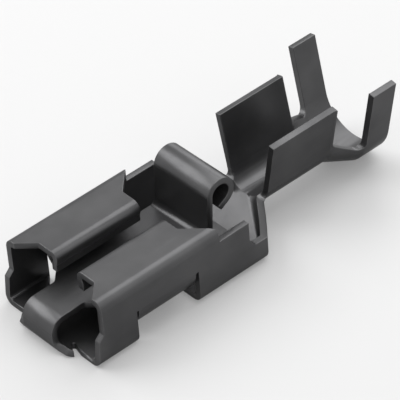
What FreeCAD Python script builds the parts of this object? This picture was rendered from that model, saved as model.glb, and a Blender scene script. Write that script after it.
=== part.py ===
"""Female spade terminal: one stamped sheet folded into a tab sleeve and crimp barrels.

Millimetres. X runs from the mouth (front) to the cable end, Y is the width,
Z is up and the folded floor lies on Z = 0. Sizes are laid out with X = 0 at
the front of the side walls; the finished shape is moved so that X = 0 is the
middle of its length.
"""
import FreeCAD
import Part
import math
import os

Vector = FreeCAD.Vector

# Sheet
SHEET = 0.40                # thickness of the strip it is stamped from
BEND = 0.20                 # inner radius of the plain folds

# Sleeve: the box that closes round the tab
SLEEVE_WIDTH = 7.80
SLEEVE_HEIGHT = 4.17
SLEEVE_REAR = 11.55         # end of the straight side walls
LIP_GAP = 1.76              # clear slot between the two folded-in lips
LIP_LEAN = 30.0             # over-bend of the lip before it turns straight down
LIP_BEND = 0.12
LIP_DROP = 1.25             # lip's lower edge below the top of the sleeve
TAB_THICKNESS = 0.81        # mating tab, held between tongue and lips

BLANK_CORNER = 0.15         # radius on the stamped blank's corners

# Front edges of the sleeve
CHEEK_STEP = 0.35           # lower cheek stands this far ahead of the upper one
CHEEK_STEP_Z = 2.08
FOOT_FRONT = -0.50
RELIEF_ROOT = (-0.445, 1.78)  # centre of the round end of the slot beside the nose
RELIEF_WIDTH = 0.30
RELIEF_FRONT_TURN = 20.0    # slant of the slot's two sides from the Y direction
RELIEF_REAR_TURN = 15.5

# Ends of the top flanges, cut square with 45 degree corners
FLANGE_FRONT = 0.95
FLANGE_FRONT_OUT = 3.18
FLANGE_REAR = 6.80
FLANGE_REAR_CORNER = 2.20

# Side windows with the two support wings folded inward out of the walls
FOOT_REAR = 2.30
FOOT_FLOOR_REAR = 1.73
FOOT_CORNER_IN = 1.03       # where the foot's floor slants back, in from the wall
WINDOW_CORNER = 0.25
WINDOW_REAR = 6.62
WINDOW_TOP = 2.25
WING_FRONT = 2.42
WING_REAR = 6.45
WING_BEND = 1.10
WING_FLAT = 0.12

# Central strip: floor, nose, spring tongue, stop plate, rolled edge
NOSE_FRONT = -1.40
NOSE_LOW_BEND = 0.30
NOSE_TOP_BEND = 0.50
NOSE_HALF_WIDTH = 1.20
NOSE_FLARE = 0.68           # radius that widens the nose, measured on the flat blank
NOSE_FLARE_START = 0.24     # height above the low bend where it begins
NOSE_SHOULDER = 0.06        # short straight after that radius
NOSE_TIP_OUT = 0.33         # slanting end of the wide part, outward and along
NOSE_TIP_RUN = 0.33
STRIP_HALF_WIDTH = 2.15
EAR_START = 0.92            # the tongue widens at 45 degrees from here
TONGUE_CLIMB = 0.12         # it climbs a little from the mouth to the plate
PLATE_FOOT = 9.02           # middle of the plate where it leaves the tongue
PLATE_LEAN = 4.0
PLATE_BEND = 0.40
LOOP_TOP = 5.57
LOOP_BEND = 0.56
LOOP_LEG_TURN = 150.0
LOOP_LEG = 0.60

# Side walls behind the flanges
WALL_TOP = 3.37
FLANGE_END = 8.22           # the folded corner ends here, square to the wall
WALL_REAR = 10.30
NECK_RIM = 1.63
RIM_CORNER = (0.32, 0.55)   # small slope between wall end and neck rim

# Crimp barrels: outer foot half width, lean in degrees, level of the underside
NECK_LENGTH = 2.17          # from the sleeve to the front of the wire wings
NECK_RUNOUT = 0.275         # the narrowed neck runs this far before the wings
NECK_LAP = 0.55             # length of straight sleeve that the neck begins with
THROAT_ROUND = 0.68         # roundness of the narrowed neck beside the wire barrel
WIRE_FOOT = 1.402
WIRE_LEAN = 11.3
WIRE_BOTTOM = 0.84
WIRE_LENGTH = 4.74
WIRE_TOP = 5.47
SADDLE_LENGTH = 1.77        # between the two pairs of wings
SADDLE_LEAD = 0.16          # it starts to widen this far inside the wire barrel
CABLE_FOOT = 2.26
CABLE_LEAN = 10.9
CABLE_BOTTOM = 0.0
CABLE_LENGTH = 1.72
CABLE_TOP = 5.88
SADDLE_FRONT_Z = 2.62       # rim between the barrels, front and rear end
SADDLE_REAR_Z = 1.62
RIM_FILLET = 0.35

# Derived
LIP_END = SLEEVE_HEIGHT - LIP_DROP
TONGUE_TOP = LIP_END - TAB_THICKNESS    # at the mouth
WIRE_FRONT = SLEEVE_REAR + NECK_LENGTH
WIRE_REAR = WIRE_FRONT + WIRE_LENGTH
CABLE_FRONT = WIRE_REAR + SADDLE_LENGTH
CABLE_REAR = CABLE_FRONT + CABLE_LENGTH
HALF = SLEEVE_WIDTH / 2.0
MID = SHEET / 2.0
BIG = 40.0
SKY = 8.0                   # trimmed walls start this high


def on_xz(u, v):
    """Point of a side view."""
    return Vector(u, 0.0, v)


def on_yz(u, v):
    """Point of a front view."""
    return Vector(0.0, u, v)


def on_xy(u, v):
    """Point of a plan view."""
    return Vector(u, v, 0.0)


def unit(a, b):
    """Unit direction from a to b in the plane."""
    length = math.hypot(b[0] - a[0], b[1] - a[1])
    return ((b[0] - a[0]) / length, (b[1] - a[1]) / length)


def along(point, direction, length):
    """Point moved by length along a plane direction."""
    return (point[0] + direction[0] * length, point[1] + direction[1] * length)


def corner(before, vertex, after, radius):
    """Arc that rounds a vertex: both tangent points, centre, turn sign."""
    d_in = unit(before, vertex)
    d_out = unit(vertex, after)
    cross = d_in[0] * d_out[1] - d_in[1] * d_out[0]
    dot = d_in[0] * d_out[0] + d_in[1] * d_out[1]
    turn = math.atan2(cross, dot)
    side = 1.0 if turn > 0 else -1.0
    reach = radius * math.tan(abs(turn) / 2.0)
    start = along(vertex, d_in, -reach)
    end = along(vertex, d_out, reach)
    centre = along(start, (-d_in[1] * side, d_in[0] * side), radius)
    return start, end, centre, side


def edge(place, a, b):
    """Straight edge between two plane points."""
    return Part.LineSegment(place(*a), place(*b)).toShape()


def arc(place, a, m, b):
    """Arc through three plane points."""
    return Part.Arc(place(*a), place(*m), place(*b)).toShape()


def side_of_sheet(points, bends, offset, place):
    """Edges of one face of a folded sheet, and its two end points.

    points is the middle line, bends the inner radius at each inner vertex,
    offset the distance of this face to the left of the middle line.
    """
    first = unit(points[0], points[1])
    here = along(points[0], (-first[1], first[0]), offset)
    begin = here
    edges = []
    for i, bend in enumerate(bends, start=1):
        start, end, centre, side = corner(points[i - 1], points[i], points[i + 1], bend + MID)
        radius = bend + MID - side * offset
        go_in = unit(points[i - 1], points[i])
        go_out = unit(points[i], points[i + 1])
        a = along(start, (-go_in[1], go_in[0]), offset)
        m = along(centre, unit(centre, points[i]), radius)
        b = along(end, (-go_out[1], go_out[0]), offset)
        edges.append(edge(place, here, a))
        edges.append(arc(place, a, m, b))
        here = b
    last = unit(points[-2], points[-1])
    finish = along(points[-1], (-last[1], last[0]), offset)
    edges.append(edge(place, here, finish))
    return edges, begin, finish


def folded(points, bends, place):
    """Section of a folded sheet as a face."""
    left, left_a, left_b = side_of_sheet(points, bends, MID, place)
    right, right_a, right_b = side_of_sheet(points, bends, -MID, place)
    caps = [edge(place, left_b, right_b), edge(place, right_a, left_a)]
    return Part.Face(Part.Wire(Part.__sortEdges__(left + right + caps)))


def outline(points, place, rounds=None):
    """Closed outline as a face; rounds gives radii by index of the point."""
    rounds = rounds or {}
    edges = []
    count = len(points)
    stops = []
    for i, vertex in enumerate(points):
        radius = rounds.get(i, 0.0)
        if radius <= 0.0:
            stops.append((vertex, vertex))
            continue
        start, end, centre, _ = corner(points[i - 1], vertex, points[(i + 1) % count], radius)
        middle = along(centre, unit(centre, vertex), radius)
        stops.append((start, end))
        edges.append(arc(place, start, middle, end))
    for i in range(count):
        edges.append(edge(place, stops[i][1], stops[(i + 1) % count][0]))
    return Part.Face(Part.Wire(Part.__sortEdges__(edges)))


def prism(face, axis, low, high):
    """Solid swept from low to high along X, Y or Z."""
    step = {"X": Vector(1, 0, 0), "Y": Vector(0, 1, 0), "Z": Vector(0, 0, 1)}[axis]
    solid = face.extrude(step * (high - low))
    solid.translate(step * low)
    return solid


def mirrored(shape):
    """The same shape on the other side of the middle plane."""
    return shape.mirror(Vector(0, 0, 0), Vector(0, 1, 0))


def both_sides(shape):
    """A cutting tool and its mirror image."""
    return Part.makeCompound([shape, mirrored(shape)])


def sleeve_section():
    """Folded section of the sleeve: lip, flange, wall, floor and back up again."""
    wall = HALF - MID
    top = SLEEVE_HEIGHT - MID
    lip = LIP_GAP / 2.0 + MID
    lean = math.radians(LIP_LEAN)
    full = LIP_BEND + MID
    run = full * math.tan((math.pi / 2.0 + lean) / 2.0) + full * math.tan(lean / 2.0) + 0.01
    bead = (lip - run * math.sin(lean), top)
    joggle = (lip, top - run * math.cos(lean))
    right = [(lip, LIP_END), joggle, bead, (wall, top), (wall, MID)]
    left = [(-y, z) for y, z in reversed(right)]
    bends = [LIP_BEND, LIP_BEND, BEND, BEND]
    return folded(right + left, bends + list(reversed(bends)), on_yz)


def cheek_front():
    """Tool ahead of the side walls: straight, 45 degree step, leaning foot."""
    low = CHEEK_STEP_Z - CHEEK_STEP
    points = [(-BIG, SKY), (0.0, SKY), (0.0, CHEEK_STEP_Z), (-CHEEK_STEP, low)]
    points += [(FOOT_FRONT, 0.0), (FOOT_FRONT, -1.0), (-BIG, -1.0)]
    return prism(outline(points, on_xz, {2: BLANK_CORNER * 0.7, 3: BLANK_CORNER}), "Y", -BIG, BIG)


def flange_front():
    """Tool that trims the flange and lip at the mouth."""
    slope = FLANGE_FRONT
    points = [(-BIG, 0.0), (-BIG, FLANGE_FRONT_OUT), (0.0, FLANGE_FRONT_OUT)]
    points += [(FLANGE_FRONT, FLANGE_FRONT_OUT - slope), (FLANGE_FRONT, 0.0)]
    low = TONGUE_TOP + MID
    return both_sides(prism(outline(points, on_xy, {3: BLANK_CORNER}), "Z", low, SKY))


def flange_rear():
    """Tools that trim the flange behind its 45 degree end, then the wall top."""
    run = FLANGE_END - FLANGE_REAR
    points = [(FLANGE_REAR, 0.0), (FLANGE_REAR, FLANGE_REAR_CORNER)]
    points += [(FLANGE_END, FLANGE_REAR_CORNER + run), (FLANGE_END, BIG), (BIG, BIG), (BIG, 0.0)]
    above = prism(outline(points, on_xy, {1: BLANK_CORNER}), "Z", WALL_TOP, SKY)
    inner = [(FLANGE_REAR, 0.0), (FLANGE_REAR, FLANGE_REAR_CORNER), (BIG, FLANGE_REAR_CORNER), (BIG, 0.0)]
    lip = prism(outline(inner, on_xy), "Z", TONGUE_TOP + MID, WALL_TOP)
    return both_sides(Part.makeCompound([above, lip]))


def window():
    """Tool for the opening in foot, floor and wall beneath a support wing."""
    strip = STRIP_HALF_WIDTH
    plan = [(FOOT_FLOOR_REAR, strip), (FOOT_FLOOR_REAR, HALF - FOOT_CORNER_IN), (FOOT_REAR, HALF - SHEET)]
    plan += [(FOOT_REAR, HALF + 1), (WINDOW_REAR, HALF + 1), (WINDOW_REAR, strip)]
    hole = prism(outline(plan, on_xy, {0: WINDOW_CORNER, 1: BLANK_CORNER, 5: WINDOW_CORNER}), "Z", -1.0, SHEET + BEND)
    slot = (WING_FRONT - FOOT_REAR) * 0.45
    side = [(FOOT_REAR, 0.0), (WINDOW_REAR, 0.0), (WINDOW_REAR, WINDOW_TOP), (FOOT_REAR, WINDOW_TOP)]
    wall = prism(outline(side, on_xz, {2: slot, 3: slot}), "Y", HALF - SHEET - BEND, HALF + 1)
    return both_sides(Part.makeCompound([hole, wall]))


def support_wing():
    """Wall material rolled inward under the tongue, on one side."""
    wall = HALF - MID
    radius = WING_BEND + MID
    knee = WINDOW_TOP - radius
    points = [(wall, WINDOW_TOP + 0.3), (wall, knee), (wall - radius - WING_FLAT, knee)]
    return prism(folded(points, [WING_BEND], on_yz), "X", WING_FRONT, WING_REAR)


def sleeve():
    """Side walls, flanges, lips, feet and floor."""
    body = prism(sleeve_section(), "X", FOOT_FRONT, SLEEVE_REAR - NECK_LAP)
    tools = [cheek_front(), flange_front(), flange_rear(), window(), nose_relief()]
    for tool in tools:
        body = body.cut(tool)
    wing = support_wing()
    return body.fuse([wing, mirrored(wing)])


def nose_relief():
    """Slanting round-ended slots that part the nose's wide end from the feet."""
    x, y = RELIEF_ROOT
    half = RELIEF_WIDTH / 2.0
    root = y - half
    front = math.tan(math.radians(RELIEF_FRONT_TURN))
    rear = math.tan(math.radians(RELIEF_REAR_TURN))
    reach = HALF + 1.0
    points = [(x - half, root), (x - half - front * (reach - root), reach)]
    points += [(-BIG, reach), (-BIG, BIG), (FOOT_FRONT, BIG)]
    points += [(FOOT_FRONT, root + (x + half - FOOT_FRONT) / rear), (x + half, root)]
    slot = outline(points, on_xy, {0: half * 0.9, 5: RELIEF_WIDTH, 6: half * 0.9})
    return both_sides(prism(slot, "Z", -1.0, SHEET + BEND))


def strip_path():
    """Middle line and bends of the central strip, in side view."""
    nose = NOSE_FRONT + MID
    tongue = TONGUE_TOP - MID
    lean = math.radians(PLATE_LEAN)
    foot = (PLATE_FOOT, tongue + TONGUE_CLIMB)
    top = LOOP_TOP - MID
    head = (PLATE_FOOT + math.tan(lean) * (top - foot[1]), top)
    radius = LOOP_BEND + MID
    turn = math.radians(LOOP_LEG_TURN)
    rise = radius * math.tan((math.pi / 2.0 - lean) / 2.0)
    reach = radius * math.tan(turn / 2.0)
    knee = (head[0] + rise + 0.02 + reach, top)
    leg = reach + LOOP_LEG
    end = (knee[0] + math.cos(turn) * leg, top - math.sin(turn) * leg)
    points = [(1.0, MID), (nose, MID), (nose, tongue), foot, head, knee, end]
    bends = [NOSE_LOW_BEND, NOSE_TOP_BEND, PLATE_BEND, LOOP_BEND, LOOP_BEND]
    return points, bends


def across_sheet(travel, inner_edge, outer_edge):
    """Wire square to the nose's sheet at one place on the flat blank.

    travel is the height above the low bend, and below zero the length
    along the middle of the sheet round that bend.
    """
    radius = NOSE_LOW_BEND + MID
    centre_x = NOSE_FRONT + SHEET + NOSE_LOW_BEND
    centre_z = SHEET + NOSE_LOW_BEND
    angle = max(0.0, -travel / radius)
    lift = max(0.0, travel)
    corners = []
    near = NOSE_LOW_BEND * 0.4
    far = NOSE_LOW_BEND + SHEET * 1.8
    for reach, y in ((near, inner_edge), (far, inner_edge), (far, outer_edge), (near, outer_edge)):
        x = centre_x - reach * math.cos(angle)
        z = centre_z + lift - reach * math.sin(angle)
        corners.append(Vector(x, y, z))
    return Part.makePolygon(corners + corners[:1])


def nose_flare():
    """Tool that narrows the nose and lets it widen round the low bend by a radius."""
    wide = HALF + 1.0
    wires = [across_sheet(TONGUE_TOP - SHEET - NOSE_TOP_BEND - NOSE_LOW_BEND, NOSE_HALF_WIDTH, wide)]
    steps = 8
    for i in range(steps + 1):
        turn = math.pi / 2.0 * i / steps
        edge_y = NOSE_HALF_WIDTH + NOSE_FLARE * (1.0 - math.cos(turn))
        wires.append(across_sheet(NOSE_FLARE_START - NOSE_FLARE * math.sin(turn), edge_y, wide))
    low = NOSE_FLARE_START - NOSE_FLARE - 0.01
    shoulder = NOSE_HALF_WIDTH + NOSE_FLARE + NOSE_SHOULDER
    wires.append(across_sheet(low, shoulder, wide))
    wires.append(across_sheet(low - NOSE_TIP_RUN, shoulder + NOSE_TIP_OUT, wide))
    return both_sides(Part.makeLoft(wires, True, True))


def tongue_ears():
    """Tool that leaves the tongue narrow at the mouth and wide behind its ears."""
    slope = STRIP_HALF_WIDTH - NOSE_HALF_WIDTH
    points = [(-BIG, NOSE_HALF_WIDTH), (EAR_START, NOSE_HALF_WIDTH)]
    points += [(EAR_START + slope, STRIP_HALF_WIDTH), (BIG, STRIP_HALF_WIDTH), (BIG, HALF), (-BIG, HALF)]
    low = (SHEET + TONGUE_TOP) / 2.0
    return both_sides(prism(outline(points, on_xy, {1: BLANK_CORNER * 2.0, 2: BLANK_CORNER * 0.7}), "Z", low, SKY))


def centre_strip():
    """Nose, spring tongue, stop plate and rolled edge in one folded strip."""
    points, bends = strip_path()
    wide = HALF - SHEET - BEND
    strip = prism(folded(points, bends, on_xz), "Y", -wide, wide)
    for tool in (nose_flare(), nose_relief(), tongue_ears()):
        strip = strip.cut(tool)
    return strip


def u_wire(x, foot, lean, radius, bottom):
    """Closed outline of an open U that is filled up to the sky, at one station."""
    rise = math.tan(math.radians(lean))
    top = foot + rise * (SKY - bottom)
    points = [(-top, SKY), (-foot, bottom), (foot, bottom), (top, SKY)]
    arcs = [corner(points[i - 1], points[i], points[i + 1], radius) for i in (1, 2)]
    edges = []
    here = points[0]
    for vertex, (start, end, centre, _) in zip(points[1:3], arcs):
        middle = along(centre, unit(centre, vertex), radius)
        edges.append(edge(on_yz, here, start))
        edges.append(arc(on_yz, start, middle, end))
        here = end
    edges.append(edge(on_yz, here, points[3]))
    edges.append(edge(on_yz, points[3], points[0]))
    wire = Part.Wire(edges)
    wire.translate(Vector(x, 0, 0))
    return wire


def round_radius(foot, lean):
    """Radius that makes the bottom of a U almost fully round."""
    return 0.985 * foot / math.tan(math.radians((90.0 - lean) / 2.0))


def barrel_stations():
    """Outer sections from the sleeve's end to the cable end.

    Each row: place along X, how much earlier the inner face turns, foot half
    width, lean, corner radius and level of the underside.
    """
    wire_rim = WIRE_FOOT + math.tan(math.radians(WIRE_LEAN)) * (NECK_RIM - WIRE_BOTTOM)
    neck_end = WIRE_FRONT - NECK_RUNOUT
    taper = SHEET * math.tan(math.atan2(HALF - wire_rim, neck_end - SLEEVE_REAR) / 2.0)
    flare_start = WIRE_REAR - SADDLE_LEAD
    flare = math.atan2(CABLE_FOOT - WIRE_FOOT, CABLE_FRONT - flare_start)
    widen = -SHEET * math.tan(flare / 2.0)
    sleeve_u = (HALF, 0.0, SHEET + BEND, 0.0)
    wire_u = (WIRE_FOOT, WIRE_LEAN, round_radius(WIRE_FOOT, WIRE_LEAN), WIRE_BOTTOM)
    share = (neck_end - SLEEVE_REAR) / (WIRE_FRONT - SLEEVE_REAR)
    throat_u = (WIRE_FOOT, WIRE_LEAN, wire_u[2] * THROAT_ROUND, WIRE_BOTTOM * share)
    cable_u = (CABLE_FOOT, CABLE_LEAN, round_radius(CABLE_FOOT, CABLE_LEAN), CABLE_BOTTOM)
    return [
        (SLEEVE_REAR - NECK_LAP, 0.0) + sleeve_u,
        (SLEEVE_REAR, taper) + sleeve_u,
        (neck_end, taper) + throat_u,
        (WIRE_FRONT, taper) + wire_u,
        (flare_start, widen) + wire_u,
        (CABLE_FRONT, widen) + cable_u,
        (CABLE_REAR, 0.0) + cable_u,
    ]


def inner_u(foot, lean, radius, bottom):
    """The U one sheet thickness inside another."""
    slant = math.radians(lean)
    inner_foot = foot + math.tan(slant) * SHEET - SHEET / math.cos(slant)
    return inner_foot, lean, radius - SHEET, bottom + SHEET


def rim_tools():
    """Tools above the neck rim and above the saddle between the barrels."""
    slope_x, slope_z = RIM_CORNER
    neck = [(WALL_REAR, SKY + 1), (WALL_REAR, NECK_RIM + slope_z), (WALL_REAR + slope_x, NECK_RIM)]
    neck += [(WIRE_FRONT, NECK_RIM), (WIRE_FRONT, SKY + 1)]
    saddle = [(WIRE_REAR, SKY + 1), (WIRE_REAR, SADDLE_FRONT_Z), (CABLE_FRONT, SADDLE_REAR_Z)]
    saddle += [(CABLE_FRONT, SKY + 1)]
    tools = [outline(neck, on_xz, {2: 0.30, 3: RIM_FILLET})]
    tools.append(outline(saddle, on_xz, {1: RIM_FILLET, 2: RIM_FILLET}))
    return [prism(tool, "Y", -BIG, BIG) for tool in tools]


def wing_top(top, lean, front, rear):
    """Tool that shears two leaning wings square to their own faces."""
    fall = math.tan(math.radians(lean))
    points = [(-BIG, top - BIG * fall), (0.0, top), (BIG, top - BIG * fall), (BIG, BIG), (-BIG, BIG)]
    return prism(outline(points, on_yz), "X", front, rear)


def tent(edge_z, foot, lean, bottom):
    """Peak height of the tent that shears wings whose outer edge is at edge_z."""
    fall = math.tan(math.radians(lean))
    return edge_z + fall * (foot + fall * (edge_z - bottom))


def barrels():
    """Neck, wire barrel and cable barrel as one constant-thickness trough."""
    outer = []
    inner = []
    for x, shift, foot, lean, radius, bottom in barrel_stations():
        outer.append(u_wire(x, foot, lean, radius, bottom))
        inner.append(u_wire(x - shift, *inner_u(foot, lean, radius, bottom)))
    trough = Part.makeLoft(outer, True, True).cut(Part.makeLoft(inner, True, True))
    for tool in rim_tools():
        trough = trough.cut(tool)
    wire_peak = tent(WIRE_TOP, WIRE_FOOT, WIRE_LEAN, WIRE_BOTTOM)
    cable_peak = tent(CABLE_TOP, CABLE_FOOT, CABLE_LEAN, CABLE_BOTTOM)
    trough = trough.cut(wing_top(wire_peak, WIRE_LEAN, WIRE_FRONT - 0.01, WIRE_REAR + 0.01))
    return trough.cut(wing_top(cable_peak, CABLE_LEAN, CABLE_FRONT - 0.01, CABLE_REAR + 0.01))


def sleeve_wall_rear():
    """Full-height strip of wall between the sleeve extrusion and the neck."""
    return rim_tools()[0]


def terminal():
    """The whole folded part."""
    shape = sleeve().cut(sleeve_wall_rear())
    shape = shape.fuse([centre_strip(), barrels()]).removeSplitter()
    shape.translate(Vector(-(NOSE_FRONT + CABLE_REAR) / 2.0, 0, 0))
    return shape


def main():
    """Builds the part and writes it."""
    os.makedirs("parts", exist_ok=True)
    shape = terminal()
    solid = shape.Solids[0] if len(shape.Solids) == 1 else shape
    print("solids", len(shape.Solids), "valid", shape.isValid(), "volume", round(shape.Volume, 2))
    box = shape.BoundBox
    print("box", [round(v, 3) for v in (box.XMin, box.XMax, box.YMin, box.YMax, box.ZMin, box.ZMax)])
    solid.exportStep("parts/terminal.step")


main()
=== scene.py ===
"""Dressed female spade terminal: one folded strip of darkened sheet metal.

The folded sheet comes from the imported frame. This file gives it clean edges,
a plated finish on its faces, a sheared finish on its cut edges, and a plain
pale studio with the camera of the photograph.

Lengths in the fields are millimetres, and MM turns them into Blender's
metres. Texture scales are per metre.
"""

import logging
import math
from collections.abc import Iterable
from dataclasses import dataclass, field
from enum import Enum

import bmesh
import bpy
from mathutils import Matrix, Vector
from mathutils.bvhtree import BVHTree
from mathutils.kdtree import KDTree


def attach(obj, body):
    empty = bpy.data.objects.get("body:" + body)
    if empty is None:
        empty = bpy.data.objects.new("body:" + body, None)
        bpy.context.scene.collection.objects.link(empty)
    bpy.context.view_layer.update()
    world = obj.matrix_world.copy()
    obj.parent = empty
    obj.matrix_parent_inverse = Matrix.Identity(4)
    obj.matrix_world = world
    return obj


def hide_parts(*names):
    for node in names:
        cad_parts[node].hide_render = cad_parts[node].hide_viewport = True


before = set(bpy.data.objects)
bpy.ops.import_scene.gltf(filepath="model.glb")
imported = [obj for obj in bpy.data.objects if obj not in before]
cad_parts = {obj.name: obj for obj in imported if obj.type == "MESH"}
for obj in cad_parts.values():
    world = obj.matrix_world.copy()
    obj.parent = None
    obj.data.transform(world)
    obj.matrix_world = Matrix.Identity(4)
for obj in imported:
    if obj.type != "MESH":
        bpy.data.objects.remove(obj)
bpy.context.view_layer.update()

LOG = logging.getLogger("terminal")
MM = 0.001
SHEET_THICKNESS = 0.40
EDGE_DISTANCE = "edge_distance"
EDGE_WEIGHT = "bevel_weight_edge"
WHITE = (1.0, 1.0, 1.0, 1.0)
UPWARD = Vector((0.0, 0.0, 1.0))

Colour = tuple[float, float, float]
Triple = tuple[float, float, float]
Range = tuple[float, float]
Point = tuple[float, float]
Tree = bpy.types.NodeTree
Node = bpy.types.Node
Socket = bpy.types.NodeSocket


class Finish(Enum):
    """Places in the piece's material list."""

    SHEET = 0
    CUT_EDGE = 1


def link(tree: Tree, source: Socket, target: Socket) -> None:
    """Connects two sockets of a tree."""
    tree.links.new(source, target)


def by_identifier(sockets: Iterable[Socket], identifier: str) -> Socket:
    """Returns the socket with an identifier, where several share one name."""
    return next(socket for socket in sockets if socket.identifier == identifier)


def add_input(tree: Tree, name: str, kind: str, value: float | None = None) -> str:
    """Adds a named input to a node group.

    Args:
        tree: the node group.
        name: the input's name.
        kind: the socket's type without the word NodeSocket.
        value: its default, where it has one.

    Returns:
        The socket's identifier.
    """
    socket = tree.interface.new_socket(name, in_out="INPUT", socket_type=f"NodeSocket{kind}")
    if value is not None:
        socket.default_value = value
    return socket.identifier


def add_output(tree: Tree, name: str, kind: str = "Float") -> None:
    """Adds a named output to a node group.

    Args:
        tree: the node group.
        name: the output's name.
        kind: the socket's type without the word NodeSocket.
    """
    tree.interface.new_socket(name, in_out="OUTPUT", socket_type=f"NodeSocket{kind}")


def map_range(
    tree: Tree, value: Socket, before: Range = (0.0, 1.0), after: Range = (0.0, 1.0)
) -> Node:
    """Adds a node that turns one range of values into another.

    Args:
        tree: the node tree.
        value: the value to turn.
        before: the range that it has.
        after: the range that it gets.

    Returns:
        The node, with its value in the output Result.
    """
    node = tree.nodes.new("ShaderNodeMapRange")
    node.inputs["From Min"].default_value, node.inputs["From Max"].default_value = before
    node.inputs["To Min"].default_value, node.inputs["To Max"].default_value = after
    link(tree, value, node.inputs["Value"])
    return node


def combine(tree: Tree, operation: str, first: Socket, second: Socket) -> Socket:
    """Combines two values.

    Args:
        tree: the node tree.
        operation: the Math node's operation.
        first: one value.
        second: the other value.

    Returns:
        The combined value.
    """
    node = tree.nodes.new("ShaderNodeMath")
    node.operation = operation
    link(tree, first, node.inputs[0])
    link(tree, second, node.inputs[1])
    return node.outputs["Value"]


def noise(tree: Tree, vector: Socket, scale: Socket, detail: float) -> Socket:
    """Adds a cloudy noise.

    Args:
        tree: the node tree.
        vector: where the pattern is read.
        scale: the pattern's scale.
        detail: how many finer layers it has.

    Returns:
        The noise's value.
    """
    node = tree.nodes.new("ShaderNodeTexNoise")
    node.inputs["Detail"].default_value = detail
    link(tree, vector, node.inputs["Vector"])
    link(tree, scale, node.inputs["Scale"])
    return node.outputs["Fac"]


def mix_colours(tree: Tree, mask: Socket, base: Colour | Socket, over: Colour) -> Socket:
    """Lays a colour over another one.

    Args:
        tree: the node tree.
        mask: how much of the upper colour shows.
        base: the lower colour, as a value or a socket.
        over: the upper colour.

    Returns:
        The mixed colour.
    """
    node = tree.nodes.new("ShaderNodeMix")
    node.data_type = "RGBA"
    link(tree, mask, by_identifier(node.inputs, "Factor_Float"))
    under = by_identifier(node.inputs, "A_Color")
    if isinstance(base, tuple):
        under.default_value = (*base, 1.0)
    else:
        link(tree, base, under)
    by_identifier(node.inputs, "B_Color").default_value = (*over, 1.0)
    return by_identifier(node.outputs, "Result_Color")


def compare_number(tree: Tree, operation: str, number: Socket, other: int) -> Socket:
    """Compares a whole number with a fixed one.

    Args:
        tree: the node tree.
        operation: the Compare node's operation.
        number: the number.
        other: what it is compared with.

    Returns:
        Whether the comparison holds.
    """
    node = tree.nodes.new("FunctionNodeCompare")
    node.data_type = "INT"
    node.operation = operation
    link(tree, number, by_identifier(node.inputs, "A_INT"))
    by_identifier(node.inputs, "B_INT").default_value = other
    return node.outputs["Result"]


def seen_ray(tree: Tree) -> Socket:
    """Tells the rays that show a surface from the rays that only light others.

    Args:
        tree: the tree of a material or world.

    Returns:
        A value that is 1 for camera, glossy and transmission rays, otherwise 0.
    """
    ray = tree.nodes.new("ShaderNodeLightPath")
    seen = ray.outputs["Is Camera Ray"]
    for name in ("Is Glossy Ray", "Is Transmission Ray"):
        seen = combine(tree, "MAXIMUM", seen, ray.outputs[name])
    return seen


def new_object(name: str, data: bpy.types.ID) -> bpy.types.Object:
    """Adds an object to the scene.

    Args:
        name: the object's name.
        data: its mesh, lamp or camera.

    Returns:
        The object.
    """
    made = bpy.data.objects.new(name, data)
    bpy.context.scene.collection.objects.link(made)
    return made


def add_nodes(
    piece: bpy.types.Object, tree: Tree, known: dict[str, str], values: dict[str, object]
) -> bpy.types.Modifier:
    """Gives an object a Geometry Nodes modifier.

    Args:
        piece: the object.
        tree: the node tree.
        known: the tree's inputs' identifiers by name.
        values: the inputs' values by name.

    Returns:
        The modifier.
    """
    modifier = piece.modifiers.new(tree.name, "NODES")
    modifier.node_group = tree
    for name, value in values.items():
        modifier[known[name]] = value
    return modifier


def evaluated_mesh(piece: bpy.types.Object) -> bpy.types.Mesh:
    """Applies an object's modifiers to a copy of its mesh.

    Args:
        piece: the object.

    Returns:
        The plain mesh.
    """
    bpy.context.view_layer.update()
    scene_state = bpy.context.evaluated_depsgraph_get()
    return bpy.data.meshes.new_from_object(piece.evaluated_get(scene_state))


def surface_of(mesh: bpy.types.Mesh) -> BVHTree:
    """Makes a mesh's surface searchable.

    Args:
        mesh: the mesh.

    Returns:
        A search tree of its faces, cut into triangles.
    """
    work = bmesh.new()
    work.from_mesh(mesh)
    bmesh.ops.triangulate(work, faces=work.faces)
    surface = BVHTree.FromBMesh(work)
    work.free()
    return surface


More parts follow.
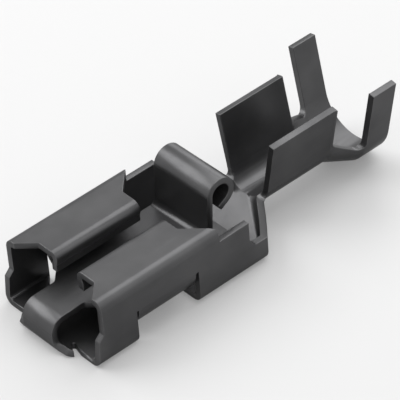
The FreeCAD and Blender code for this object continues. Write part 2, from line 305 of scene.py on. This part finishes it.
@dataclass(frozen=True)
class RolledGrain:
    """The shared effect of rolled and tumbled sheet.

    Attributes:
        cloud_scale: scale of the cloudy tone.
        cloud_detail: its finer layers.
        cloud_range: the part of its noise that is spread from dark to light.
        grain_scale: scale of the fine grain, where a material gives none.
        grain_detail: its finer layers.
        mark_stretch: how much the rolling marks are drawn out lengthwise.
        mark_detail: their finer layers.
        mark_range: the part of their noise that shows as marks.
    """

    cloud_scale: float = 350.0
    cloud_detail: float = 3.0
    cloud_range: Range = (0.35, 0.65)
    grain_scale: float = 9000.0
    grain_detail: float = 2.0
    mark_stretch: float = 0.06
    mark_detail: float = 1.0
    mark_range: Range = (0.55, 0.75)

    def group(self) -> Tree:
        """Makes the effect.

        Returns:
            A shader node group with inputs for its scales, and outputs for a
            cloudy mask, a fine height and a mask of short rolling marks.
        """
        tree = bpy.data.node_groups.new("rolled_grain", "ShaderNodeTree")
        add_input(tree, "Cloud Scale", "Float", self.cloud_scale)
        add_input(tree, "Grain Scale", "Float", self.grain_scale)
        for name in ("Cloud", "Height", "Marks"):
            add_output(tree, name)
        given = tree.nodes.new("NodeGroupInput")
        made = tree.nodes.new("NodeGroupOutput")
        place = tree.nodes.new("ShaderNodeTexCoord").outputs["Object"]

        cloud = noise(tree, place, given.outputs["Cloud Scale"], self.cloud_detail)
        spread = map_range(tree, cloud, self.cloud_range)
        link(tree, spread.outputs["Result"], made.inputs["Cloud"])

        fine = noise(tree, place, given.outputs["Grain Scale"], self.grain_detail)
        link(tree, fine, made.inputs["Height"])

        drawn = tree.nodes.new("ShaderNodeMapping")
        drawn.inputs["Scale"].default_value = (self.mark_stretch, 1.0, 1.0)
        link(tree, place, drawn.inputs["Vector"])
        along = drawn.outputs["Vector"]
        lines = noise(tree, along, given.outputs["Grain Scale"], self.mark_detail)
        marks = map_range(tree, lines, self.mark_range)
        link(tree, marks.outputs["Result"], made.inputs["Marks"])
        return tree


@dataclass(frozen=True)
class EdgeWearAndHighlight:
    """The shared effect of plating rubbed thin along the edges, which also paints a highlight
    along them.

    Attributes:
        reach: how far the wear and the painted highlight go from an edge.
        patch_scale: scale of the patches that break it up.
        patch_detail: their finer layers.
        patch_range: the part of their noise that goes from little to full wear.
        least: how much of the wear and the painted highlight is left between the patches.
    """

    reach: float = 0.036
    patch_scale: float = 1400.0
    patch_detail: float = 3.0
    patch_range: Range = (0.35, 0.62)
    least: float = 0.25

    def group(self) -> Tree:
        """Makes the effect.

        Returns:
            A shader node group with inputs for the reach from an edge and the
            scale of the patches, and an output that is 1 where the metal is bare.
        """
        tree = bpy.data.node_groups.new("edge_wear_and_highlight", "ShaderNodeTree")
        add_input(tree, "Reach", "Float", self.reach * MM)
        add_input(tree, "Patch Scale", "Float", self.patch_scale)
        add_output(tree, "Wear And Highlight")
        given = tree.nodes.new("NodeGroupInput")
        made = tree.nodes.new("NodeGroupOutput")

        near = tree.nodes.new("ShaderNodeAttribute")
        near.attribute_name = EDGE_DISTANCE
        # Full near a sharp line: there the plating shows as rubbed, and a highlight is painted
        # along the edge.
        fade = map_range(tree, near.outputs["Fac"], after=(1.0, 0.0))
        fade.interpolation_type = "SMOOTHSTEP"
        link(tree, given.outputs["Reach"], fade.inputs["From Max"])

        place = tree.nodes.new("ShaderNodeTexCoord").outputs["Object"]
        patch = noise(tree, place, given.outputs["Patch Scale"], self.patch_detail)
        broken = map_range(tree, patch, self.patch_range, (self.least, 1.0))
        wear_and_highlight = combine(tree, "MULTIPLY", fade.outputs["Result"], broken.outputs["Result"])
        link(tree, wear_and_highlight, made.inputs["Wear And Highlight"])
        return tree


@dataclass(frozen=True)
class MetalFinish:
    """A metal surface with cloudy tone, rolling marks, fine grain, and rubbed edges that also
    carry a painted highlight.

    Attributes:
        name: the material's name.
        dark: the darker tone of its clouds.
        light: their lighter tone.
        edge_tone: the lighter tone along an edge, partly rubbed plating and partly a painted
            highlight.
        metallic: how metallic it is.
        roughness: its roughness between the rolling marks and on them.
        bump: strength of the grain's relief.
        grain_scale: scale of the grain and the marks.
        bump_depth: depth of the grain's relief.
        specular: strength of the reflection of its part that isn't metallic.
        grazing: tint of the reflection at a flat angle.
    """

    name: str
    dark: Colour
    light: Colour
    edge_tone: Colour
    metallic: float
    roughness: Range
    bump: float
    grain_scale: float
    bump_depth: float = 0.004
    specular: float = 0.3
    grazing: Colour = (0.45, 0.45, 0.45)

    def material(self, grain: Tree, wear_and_highlight: Tree) -> bpy.types.Material:
        """Builds the material.

        Args:
            grain: the shared grain group.
            wear_and_highlight: the shared group of edge wear and painted edge highlight.

        Returns:
            The new material.
        """
        made = bpy.data.materials.new(self.name)
        made.use_nodes = True
        tree = made.node_tree
        skin = tree.nodes["Principled BSDF"]
        skin.inputs["Metallic"].default_value = self.metallic
        skin.inputs["Specular IOR Level"].default_value = self.specular
        skin.inputs["Specular Tint"].default_value = (*self.grazing, 1.0)
        effect = tree.nodes.new("ShaderNodeGroup")
        effect.node_tree = grain
        effect.inputs["Grain Scale"].default_value = self.grain_scale
        wear_highlight_node = tree.nodes.new("ShaderNodeGroup")
        wear_highlight_node.node_tree = wear_and_highlight

        tone = mix_colours(tree, effect.outputs["Cloud"], self.dark, self.light)
        # Lighter tone along the edges: partly rubbed plating, partly a painted highlight.
        worn_and_lit = mix_colours(tree, wear_highlight_node.outputs["Wear And Highlight"], tone, self.edge_tone)
        link(tree, worn_and_lit, skin.inputs["Base Color"])

        rough = map_range(tree, effect.outputs["Marks"], after=self.roughness)
        link(tree, rough.outputs["Result"], skin.inputs["Roughness"])

        relief = tree.nodes.new("ShaderNodeBump")
        relief.inputs["Strength"].default_value = self.bump
        relief.inputs["Distance"].default_value = self.bump_depth * MM
        link(tree, effect.outputs["Height"], relief.inputs["Height"])
        link(tree, relief.outputs["Normal"], skin.inputs["Normal"])
        return made


# Each finish's lighter edge tone is partly rubbed plating and partly a painted highlight along
# the edges.
DARKENED_PLATING = MetalFinish(
    name="darkened_plating",
    dark=(0.074, 0.074, 0.076),
    light=(0.096, 0.096, 0.098),
    edge_tone=(0.21, 0.21, 0.21),
    metallic=0.72,
    roughness=(0.32, 0.39),
    bump=0.22,
    grain_scale=9000.0,
)
SHEARED_EDGE = MetalFinish(
    name="sheared_edge",
    dark=(0.070, 0.070, 0.072),
    light=(0.098, 0.098, 0.100),
    edge_tone=(0.20, 0.20, 0.20),
    metallic=0.70,
    roughness=(0.36, 0.46),
    bump=0.5,
    grain_scale=14000.0,
)


@dataclass(frozen=True)
class PaleFloor:
    """A plain matt floor, a little brighter where the camera or the metal shows it.

    Attributes:
        name: the material's name.
        tone: its grey.
        glow: how much it glows for the rays that show it.
        roughness: its roughness.
        specular: strength of its reflection.
    """

    name: str = "pale_floor"
    tone: float = 0.51
    glow: float = 0.20
    roughness: float = 0.9
    specular: float = 0.1

    def material(self) -> bpy.types.Material:
        """Builds the material.

        Returns:
            The new material.
        """
        made = bpy.data.materials.new(self.name)
        made.use_nodes = True
        tree = made.node_tree
        skin = tree.nodes["Principled BSDF"]
        skin.inputs["Roughness"].default_value = self.roughness
        skin.inputs["Specular IOR Level"].default_value = self.specular
        skin.inputs["Base Color"].default_value = (self.tone, self.tone, self.tone, 1.0)
        skin.inputs["Emission Color"].default_value = WHITE
        glow = map_range(tree, seen_ray(tree), after=(0.0, self.glow))
        link(tree, glow.outputs["Result"], skin.inputs["Emission Strength"])
        return made


@dataclass
class RolledPlate:
    """The stop plate: the tongue's strip folded up and rolled over at the top.

    The points are on the strip's middle line in its side view, as lengths from
    the mouth and heights above the floor. The strip has a fold at each of
    them except the first and the last.

    Attributes:
        width: width of the strip.
        thickness: its thickness.
        shift: what takes a length from the mouth to the frame's x.
        begin: where the swept part begins.
        tongue: the tongue's front end, which sets the strip's slope.
        foot: where the plate turns up.
        head: where the roll turns back.
        knee: where it turns down.
        tip: where it ends.
        plate_bend: middle radius of the fold at the foot.
        loop_bend: middle radius of the folds of the roll.
        bend_steps: points on each fold.
        plate_fold: index of the foot among the swept path's points.
    """

    width: float = 4.30
    thickness: float = SHEET_THICKNESS
    shift: float = -10.275
    begin: float = 7.00
    tongue: Point = (-1.20, 1.91)
    foot: Point = (9.02, 2.03)
    head: Point = (9.2536, 5.37)
    knee: Point = (12.8187, 5.37)
    tip: Point = (9.8427, 3.6518)
    plate_bend: float = 0.60
    loop_bend: float = 0.76
    bend_steps: int = 18
    plate_fold: int = 1

    def place(self, point: Point) -> Vector:
        """Returns a point of the side view in metres."""
        return Vector((point[0] + self.shift, 0.0, point[1])) * MM

    def start(self) -> tuple[Vector, Vector]:
        """Finds where the swept part begins.

        Returns:
            The point on the strip's middle line, and the line's direction.
        """
        low, high = self.place(self.tongue), self.place(self.foot)
        way = (high - low).normalized()
        reach = (self.begin + self.shift) * MM - low.x
        return low + way * (reach / way.x), way

    def fold_radius(self, tree: Tree, given: Node) -> Socket:
        """Adds the choice of a fold's radius.

        Args:
            tree: the sweep's node tree.
            given: its group input.

        Returns:
            The plate's radius at its foot, and the loop's radius after it.
        """
        index = tree.nodes.new("GeometryNodeInputIndex")
        radius = tree.nodes.new("GeometryNodeSwitch")
        radius.input_type = "FLOAT"
        at_foot = compare_number(tree, "LESS_EQUAL", index.outputs["Index"], self.plate_fold)
        link(tree, at_foot, radius.inputs["Switch"])
        link(tree, given.outputs["Loop Bend"], radius.inputs["False"])
        link(tree, given.outputs["Plate Bend"], radius.inputs["True"])
        return radius.outputs["Output"]

    def tree(self) -> tuple[Tree, dict[str, str]]:
        """Builds the node tree that sweeps a strip along a path with rounded folds.

        Returns:
            The tree, and its inputs' identifiers by name.
        """
        tree = bpy.data.node_groups.new("rolled_strip", "GeometryNodeTree")
        tree.is_modifier = True
        add_input(tree, "Path", "Geometry")
        kinds = {
            "Width": "Float",
            "Thickness": "Float",
            "Plate Bend": "Float",
            "Loop Bend": "Float",
            "Bend Steps": "Int",
            "Finish": "Material",
        }
        known = {name: add_input(tree, name, kind) for name, kind in kinds.items()}
        add_output(tree, "Strip", "Geometry")
        given = tree.nodes.new("NodeGroupInput")
        made = tree.nodes.new("NodeGroupOutput")

        line = tree.nodes.new("GeometryNodeMeshToCurve")
        link(tree, given.outputs["Path"], line.inputs["Mesh"])
        fold = tree.nodes.new("GeometryNodeFilletCurve")
        fold.mode = "POLY"
        link(tree, line.outputs["Curve"], fold.inputs["Curve"])
        link(tree, given.outputs["Bend Steps"], fold.inputs["Count"])
        link(tree, self.fold_radius(tree, given), fold.inputs["Radius"])

        section = tree.nodes.new("GeometryNodeCurvePrimitiveQuadrilateral")
        link(tree, given.outputs["Width"], section.inputs["Width"])
        link(tree, given.outputs["Thickness"], section.inputs["Height"])
        sweep = tree.nodes.new("GeometryNodeCurveToMesh")
        sweep.inputs["Fill Caps"].default_value = True
        link(tree, fold.outputs["Curve"], sweep.inputs["Curve"])
        link(tree, section.outputs["Curve"], sweep.inputs["Profile Curve"])

        real = tree.nodes.new("GeometryNodeRealizeInstances")
        dress = tree.nodes.new("GeometryNodeSetMaterial")
        link(tree, sweep.outputs["Mesh"], real.inputs["Geometry"])
        link(tree, real.outputs["Geometry"], dress.inputs["Geometry"])
        link(tree, given.outputs["Finish"], dress.inputs["Material"])
        link(tree, dress.outputs["Geometry"], made.inputs["Strip"])
        return tree, known

    def build(self, finish: bpy.types.Material) -> bpy.types.Mesh:
        """Sweeps the strip from the tongue to the end of its roll.

        Args:
            finish: the material of the strip.

        Returns:
            The strip's mesh.
        """
        folds = [self.place(point) for point in (self.foot, self.head, self.knee, self.tip)]
        middle = [self.start()[0], *folds]
        mesh = bpy.data.meshes.new("stop_plate_path")
        mesh.from_pydata(middle, [(i, i + 1) for i in range(len(folds))], [])
        piece = new_object("stop_plate", mesh)
        tree, known = self.tree()
        sizes = {
            "Width": self.width * MM,
            "Thickness": self.thickness * MM,
            "Plate Bend": self.plate_bend * MM,
            "Loop Bend": self.loop_bend * MM,
            "Bend Steps": self.bend_steps,
            "Finish": finish,
        }
        sweep = add_nodes(piece, tree, known, sizes)
        strip = evaluated_mesh(piece)
        piece.modifiers.remove(sweep)
        bpy.data.objects.remove(piece)
        return strip


@dataclass(frozen=True)
class EdgeFinish:
    """Rounds the sheet's sharp lines and notes how far each face is from one.

    Attributes:
        sharp_angle: a line with a larger angle is sharp.
        crease_angle: between broad faces, a line with a larger angle is rounded too.
        broad_area: area of a broad face, in square millimetres.
        edge_round: width of the rounding.
        round_steps: faces across it.
        fold_angle: a rounding with a larger angle between faces has folded over.
        stand_off: a rounding's point further off the sheet has left it.
        tight_reach: a line nearer to such a place gets a narrower rounding.
        tight_cut: how much narrower, each time.
        least_weight: a line that would get less than this stays sharp.
        samples: how many parts of a line are tested for such a place.
        tries: how often the rounding is tested.
        merge_distance: corners of a face without width are this near each other.
        normal_weight: how much a broad face's normal counts.
    """

    sharp_angle: float = math.radians(38.0)
    crease_angle: float = math.radians(12.0)
    broad_area: float = 5.0
    edge_round: float = 0.04
    round_steps: int = 3
    fold_angle: float = math.radians(100.0)
    stand_off: float = 0.016
    tight_reach: float = 0.06
    tight_cut: float = 0.6
    least_weight: float = 0.12
    samples: int = 4
    tries: int = 12
    merge_distance: float = 0.0005
    normal_weight: int = 100

    def sharp_lines(self, mesh: bpy.types.Mesh) -> bpy.types.Object:
        """Copies the mesh's sharp lines.

        Args:
            mesh: the sheet before its edges are rounded.

        Returns:
            An object that has only those lines.
        """
        work = bmesh.new()
        work.from_mesh(mesh)
        points = [
            vertex.co.copy()
            for edge in work.edges
            if len(edge.link_faces) == 2 and edge.calc_face_angle() > self.sharp_angle
            for vertex in edge.verts
        ]
        work.free()
        lines = bpy.data.meshes.new("sharp_lines")
        lines.from_pydata(points, [(i, i + 1) for i in range(0, len(points), 2)], [])
        return new_object("sharp_lines", lines)

    def distance_beyond_corners(self, tree: Tree, marker: Socket) -> Socket:
        """Adds the measure of how far a face's corners are from the sharp lines.

        A corner has at least the distance of its face's middle, so that a
        broad face has no wear or painted highlight where only its corners are near a line.

        Args:
            tree: the measure's node tree.
            marker: the object with the sharp lines.

        Returns:
            The distance.
        """
        lines = tree.nodes.new("GeometryNodeObjectInfo")
        link(tree, marker, lines.inputs["Object"])
        near = tree.nodes.new("GeometryNodeProximity")
        near.target_element = "EDGES"
        link(tree, lines.outputs["Geometry"], near.inputs["Geometry"])
        middle = tree.nodes.new("GeometryNodeFieldOnDomain")
        middle.domain = "FACE"
        link(tree, near.outputs["Distance"], middle.inputs["Value"])
        return combine(tree, "MAXIMUM", near.outputs["Distance"], middle.outputs["Value"])

    def tree(self) -> tuple[Tree, dict[str, str]]:
        """Builds the node tree that measures the distance to the sharp lines.

        Returns:
            The tree, and its inputs' identifiers by name.
        """
        tree = bpy.data.node_groups.new("edge_measure", "GeometryNodeTree")
        tree.is_modifier = True
        add_input(tree, "Sheet", "Geometry")
        kinds = {
            "Sharp Lines": "Object",
            "Merge Distance": "Float",
            "Plated": "Material",
            "Sheared": "Material",
        }
        known = {name: add_input(tree, name, kind) for name, kind in kinds.items()}
        add_output(tree, "Sheet", "Geometry")
        given = tree.nodes.new("NodeGroupInput")
        made = tree.nodes.new("NodeGroupOutput")

        merge = tree.nodes.new("GeometryNodeMergeByDistance")
        link(tree, given.outputs["Sheet"], merge.inputs["Geometry"])
        link(tree, given.outputs["Merge Distance"], merge.inputs["Distance"])
        note = tree.nodes.new("GeometryNodeStoreNamedAttribute")
        note.data_type = "FLOAT"
        note.domain = "CORNER"
        note.inputs["Name"].default_value = EDGE_DISTANCE
        distance = self.distance_beyond_corners(tree, given.outputs["Sharp Lines"])
        link(tree, merge.outputs["Geometry"], note.inputs["Geometry"])
        link(tree, distance, note.inputs["Value"])

        last = tree.nodes.new("GeometryNodeRealizeInstances")
        link(tree, note.outputs["Geometry"], last.inputs["Geometry"])
        index = tree.nodes.new("GeometryNodeInputMaterialIndex")
        for finish, name in ((Finish.SHEET, "Plated"), (Finish.CUT_EDGE, "Sheared")):
            chosen = compare_number(tree, "EQUAL", index.outputs["Material Index"], finish.value)
            dress = tree.nodes.new("GeometryNodeSetMaterial")
            link(tree, last.outputs["Geometry"], dress.inputs["Geometry"])
            link(tree, chosen, dress.inputs["Selection"])
            link(tree, given.outputs[name], dress.inputs["Material"])
            last = dress
        link(tree, last.outputs["Geometry"], made.inputs["Sheet"])
        return tree, known

    def weigh_edges(self, mesh: bpy.types.Mesh) -> None:
        """Gives each line that is rounded the full width.

        Args:
            mesh: the sheet before its edges are rounded.
        """
        weights = [0.0] * len(mesh.edges)
        work = bmesh.new()
        work.from_mesh(mesh)
        work.edges.ensure_lookup_table()
        for edge in work.edges:
            if len(edge.link_faces) != 2:
                continue
            angle = edge.calc_face_angle()
            broad = min(face.calc_area() for face in edge.link_faces) > self.broad_area * MM * MM
            if angle > self.sharp_angle or (broad and angle > self.crease_angle):
                weights[edge.index] = 1.0
        work.free()
        mesh.attributes.new(EDGE_WEIGHT, "FLOAT", "EDGE").data.foreach_set("value", weights)

    def ease_edges(self, mesh: bpy.types.Mesh, tight: list[Vector]) -> None:
        """Narrows the rounding of each line that has no room for it.

        Args:
            mesh: the sheet before its edges are rounded.
            tight: places where the last rounding folded over or left the sheet.
        """
        store = mesh.attributes[EDGE_WEIGHT]
        weights = [0.0] * len(mesh.edges)
        store.data.foreach_get("value", weights)
        places = KDTree(len(tight))
        for index, point in enumerate(tight):
            places.insert(point, index)
        places.balance()
        for edge in mesh.edges:
            if weights[edge.index] == 0.0:
                continue
            start, end = (mesh.vertices[vertex].co for vertex in edge.vertices)
            tested = (start.lerp(end, step / self.samples) for step in range(self.samples + 1))
            if min(places.find(point)[2] for point in tested) < self.tight_reach * MM:
                weights[edge.index] *= self.tight_cut
            if weights[edge.index] < self.least_weight:
                weights[edge.index] = 0.0
        store.data.foreach_set("value", weights)

    def tight_places(self, mesh: bpy.types.Mesh, before: BVHTree) -> list[Vector]:
        """Finds where a rounded mesh turns back on itself or leaves the sheet.

        Args:
            mesh: the mesh with its edges rounded.
            before: the surface of the sheet before its edges were rounded.

        Returns:
            The middle of each edge between two faces that fold over, and
            each point that stands off the sheet.
        """
        work = bmesh.new()
        work.from_mesh(mesh)
        folded = [
            (edge.verts[0].co + edge.verts[1].co) / 2.0
            for edge in work.edges
            if len(edge.link_faces) == 2 and edge.calc_face_angle(0.0) > self.fold_angle
        ]
        off_sheet = [
            vertex.co.copy()
            for vertex in work.verts
            if before.find_nearest(vertex.co)[3] > self.stand_off * MM
        ]
        work.free()
        return folded + off_sheet

    def round_edges(self, piece: bpy.types.Object) -> int:
        """Rounds the sharp lines, narrower where a wide rounding has no room.

        Args:
            piece: the sheet's object, which gets the modifier.

        Returns:
            How many tight places are left.
        """
        bevel = piece.modifiers.new("edge_round", "BEVEL")
        bevel.width = self.edge_round * MM
        bevel.segments = self.round_steps
        bevel.limit_method = "WEIGHT"
        bevel.use_clamp_overlap = False
        bevel.harden_normals = True
        bevel.miter_outer = "MITER_ARC"
        before = surface_of(piece.data)
        self.weigh_edges(piece.data)
        tight: list[Vector] = []
        for _ in range(self.tries):
            if tight:
                self.ease_edges(piece.data, tight)
            trial = evaluated_mesh(piece)
            tight = self.tight_places(trial, before)
            bpy.data.meshes.remove(trial)
            if not tight:
                break
        return len(tight)

    def apply(
        self, piece: bpy.types.Object, plated: bpy.types.Material, sheared: bpy.types.Material
    ) -> None:
        """Rounds the edges, stores the distances and evens the normals.

        Args:
            piece: the sheet's object, whose mesh is replaced.
            plated: the finish of the sheet's two faces.
            sheared: the finish of its cut edges.
        """
        for face in piece.data.polygons:
            face.use_smooth = True
        marker = self.sharp_lines(piece.data)
        left = self.round_edges(piece)
        tree, known = self.tree()
        values = {
            "Sharp Lines": marker,
            "Merge Distance": self.merge_distance * MM,
            "Plated": plated,
            "Sheared": sheared,
        }
        add_nodes(piece, tree, known, values)
        weighted = piece.modifiers.new("even_normals", "WEIGHTED_NORMAL")
        weighted.keep_sharp = True
        weighted.weight = self.normal_weight
        applied = evaluated_mesh(piece)
        piece.modifiers.clear()
        piece.data = applied
        bpy.data.objects.remove(marker)
        LOG.info("edges: rounded to %.3f mm, %d tight places left", self.edge_round, left)


@dataclass
class FoldedSheet:
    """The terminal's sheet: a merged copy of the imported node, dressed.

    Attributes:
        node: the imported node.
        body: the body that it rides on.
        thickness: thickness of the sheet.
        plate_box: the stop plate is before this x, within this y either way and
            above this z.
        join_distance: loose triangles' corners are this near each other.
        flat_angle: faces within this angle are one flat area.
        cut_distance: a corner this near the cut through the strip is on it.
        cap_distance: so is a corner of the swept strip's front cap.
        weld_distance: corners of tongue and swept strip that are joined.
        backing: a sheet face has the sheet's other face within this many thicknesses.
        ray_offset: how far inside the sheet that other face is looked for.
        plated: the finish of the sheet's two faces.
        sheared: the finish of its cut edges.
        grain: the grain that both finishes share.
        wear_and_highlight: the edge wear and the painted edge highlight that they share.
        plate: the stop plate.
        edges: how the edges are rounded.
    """

    node: str = "terminal"
    body: str = "root"
    thickness: float = SHEET_THICKNESS
    plate_box: Triple = (0.85, 2.16, 1.25)
    join_distance: float = 0.0005
    flat_angle: float = math.radians(0.5)
    cut_distance: float = 0.0001
    cap_distance: float = 0.001
    weld_distance: float = 0.002
    backing: float = 1.12
    ray_offset: float = 0.001
    plated: MetalFinish = DARKENED_PLATING
    sheared: MetalFinish = SHEARED_EDGE
    grain: RolledGrain = RolledGrain()
    wear_and_highlight: EdgeWearAndHighlight = EdgeWearAndHighlight()
    plate: RolledPlate = field(default_factory=RolledPlate)
    edges: EdgeFinish = EdgeFinish()

    def merged_copy(self) -> bmesh.types.BMesh:
        """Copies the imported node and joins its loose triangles.

        Returns:
            The copy, with flat areas dissolved into single faces.
        """
        work = bmesh.new()
        work.from_mesh(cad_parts[self.node].data)
        bmesh.ops.remove_doubles(work, verts=work.verts, dist=self.join_distance * MM)
        bmesh.ops.dissolve_limit(
            work, angle_limit=self.flat_angle, verts=work.verts, edges=work.edges
        )
        return work

    def without_plate(self, work: bmesh.types.BMesh) -> int:
        """Cuts the strip behind the tongue and takes away its rear part.

        Args:
            work: the merged copy, which is changed.

        Returns:
            How many faces went.
        """
        rear, half, low = (value * MM for value in self.plate_box)
        point, way = self.plate.start()

        def belongs(face: bmesh.types.BMFace) -> bool:
            """Says whether a face is one of the strip's."""
            return all(v.co.x < rear and abs(v.co.y) < half and v.co.z > low for v in face.verts)

        strip = [face for face in work.faces if belongs(face)]
        lines = list(dict.fromkeys(edge for face in strip for edge in face.edges))
        corners = list(dict.fromkeys(vertex for face in strip for vertex in face.verts))
        bmesh.ops.bisect_plane(
            work,
            geom=strip + lines + corners,
            plane_co=point,
            plane_no=way,
            dist=self.cut_distance * MM,
        )
        gone = [
            face
            for face in work.faces
            if belongs(face) and (face.calc_center_median() - point).dot(way) > 0.0
        ]
        bmesh.ops.delete(work, geom=gone, context="FACES")
        return len(gone)

    def add_plate(self, work: bmesh.types.BMesh, strip: bpy.types.Mesh) -> int:
        """Joins the swept strip to the tongue.

        Args:
            work: the sheet without the plate, which is changed.
            strip: the swept strip.

        Returns:
            How many edges are left open.
        """
        point, way = self.plate.start()
        near = self.cap_distance * MM
        work.from_mesh(strip)
        cap = [f for f in work.faces if all(abs((v.co - point).dot(way)) < near for v in f.verts)]
        bmesh.ops.delete(work, geom=cap, context="FACES")
        bmesh.ops.remove_doubles(work, verts=work.verts, dist=self.weld_distance * MM)
        bmesh.ops.recalc_face_normals(work, faces=work.faces)
        return sum(1 for edge in work.edges if len(edge.link_faces) != 2)

    def mark_cut_edges(self, mesh: bpy.types.Mesh) -> int:
        """Gives faces that aren't backed by a sheet face the cut edge's material.

        Args:
            mesh: the piece's mesh.

        Returns:
            How many faces are cut edges.
        """
        surface = surface_of(mesh)
        limit = self.thickness * self.backing * MM
        count = 0
        for face in mesh.polygons:
            start = face.center - face.normal * self.ray_offset * MM
            face.material_index = Finish.SHEET.value
            if surface.ray_cast(start, -face.normal, limit)[0] is None:
                face.material_index = Finish.CUT_EDGE.value
                count += 1
        return count

    def build(self) -> bpy.types.Object:
        """Builds and dresses the sheet, and hands it to the frame.

        Returns:
            The finished piece.
        """
        grain, wear_and_highlight = self.grain.group(), self.wear_and_highlight.group()
        plated = self.plated.material(grain, wear_and_highlight)
        sheared = self.sheared.material(grain, wear_and_highlight)
        work = self.merged_copy()
        gone = self.without_plate(work)
        still_open = self.add_plate(work, self.plate.build(plated))
        LOG.info("stop plate: %d faces replaced, %d open edges", gone, still_open)
        mesh = bpy.data.meshes.new("folded_sheet")
        work.to_mesh(mesh)
        work.free()
        piece = new_object("folded_sheet", mesh)
        mesh.materials.append(plated)
        mesh.materials.append(sheared)
        cut = self.mark_cut_edges(mesh)
        self.edges.apply(piece, plated, sheared)
        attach(piece, self.body)
        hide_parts(self.node)
        faces = len(piece.data.polygons)
        LOG.info("folded sheet: %d faces, %d marked as cut edge before rounding", faces, cut)
        return piece


@dataclass(frozen=True)
class Softbox:
    """An evenly bright rectangle that faces the part from one direction.

    Attributes:
        name: the lamp's name.
        toward: its direction, seen from the part.
        width: its width.
        height: its height.
        radiance: how bright its surface is.
        distance: how far it is from the part.
    """

    name: str
    toward: Triple
    width: float
    height: float
    radiance: float
    distance: float = 300.0

    def hang(self) -> None:
        """Adds the lamp to the scene; its power follows from its size and brightness."""
        data = bpy.data.lights.new(self.name, "AREA")
        data.shape = "RECTANGLE"
        data.size = self.width * MM
        data.size_y = self.height * MM
        data.energy = self.radiance * math.pi * data.size * data.size_y
        lamp = new_object(self.name, data)
        way = Vector(self.toward).normalized()
        lamp.location = way * self.distance * MM
        lamp.rotation_euler = (-way).to_track_quat("-Z", "Y").to_euler()


@dataclass
class Studio:
    """Pale floor, soft lamps and the camera.

    Attributes:
        floor_side: length of the square floor's side.
        floor_finish: its material.
        surround: how brightly the surround lights the part.
        lamps: the soft lamps.
        lens: the camera's focal length.
        sensor: the camera's sensor width.
        near_clip: nearest length that the camera sees.
        camera_place: where the camera is.
        look: its direction.
        roll: its turn about that direction.
    """

    floor_side: float = 1200.0
    floor_finish: PaleFloor = PaleFloor()
    surround: float = 0.42
    lamps: tuple[Softbox, ...] = (
        Softbox("rear_left", (-0.30, 0.66, 0.69), 240.0, 200.0, 3.5),
        Softbox("overhead", (0.45, 0.12, 0.88), 230.0, 400.0, 2.4),
        Softbox("rear_low", (0.80, 0.52, 0.30), 170.0, 150.0, 2.7),
        Softbox("front_right", (0.20, -0.60, 0.77), 160.0, 260.0, 0.9),
    )
    lens: float = 267.72
    sensor: float = 36.0
    near_clip: float = 1.0
    camera_place: Triple = (-77.948, -95.674, 105.274)
    look: Triple = (0.48581, 0.59630, -0.63907)
    roll: float = math.radians(-4.711)

    def floor(self) -> bpy.types.Object:
        """Lays the floor under the part.

        Returns:
            The floor.
        """
        half = self.floor_side * MM / 2.0
        corners = [(-half, -half, 0.0), (half, -half, 0.0), (half, half, 0.0), (-half, half, 0.0)]
        mesh = bpy.data.meshes.new("floor")
        mesh.from_pydata(corners, [], [(0, 1, 2, 3)])
        mesh.materials.append(self.floor_finish.material())
        floor = new_object("floor", mesh)
        return floor

    def world(self) -> None:
        """Sets an even grey surround, white where the camera or the metal shows it."""
        world = bpy.data.worlds.new("surround")
        bpy.context.scene.world = world
        world.use_nodes = True
        tree = world.node_tree
        back = tree.nodes["Background"]
        back.inputs["Color"].default_value = WHITE
        strength = map_range(tree, seen_ray(tree), after=(self.surround, 1.0))
        link(tree, strength.outputs["Result"], back.inputs["Strength"])

    def camera(self) -> None:
        """Sets the camera at the photograph's viewing angle."""
        data = bpy.data.cameras.new("camera")
        data.lens = self.lens
        data.sensor_width = self.sensor
        data.clip_start = self.near_clip * MM
        camera = new_object("camera", data)
        forward = Vector(self.look).normalized()
        level = forward.cross(UPWARD).normalized()
        upright = level.cross(forward)
        right = level * math.cos(self.roll) + upright * math.sin(self.roll)
        up = right.cross(forward)
        turn = Matrix((right, up, -forward)).transposed()
        camera.matrix_world = Matrix.Translation(Vector(self.camera_place) * MM) @ turn.to_4x4()
        bpy.context.scene.camera = camera

    def build(self) -> None:
        """Builds the studio."""
        self.floor()
        for lamp in self.lamps:
            lamp.hang()
        self.world()
        self.camera()
        bpy.context.scene.view_settings.view_transform = "Standard"
        LOG.info("studio: floor, %d lamps, surround and camera", len(self.lamps))


def main() -> None:
    """Builds the piece and the studio in order."""
    logging.basicConfig(level=logging.INFO, format="%(name)s: %(message)s")
    FoldedSheet().build()
    Studio().build()


if __name__ == "__main__":
    main()
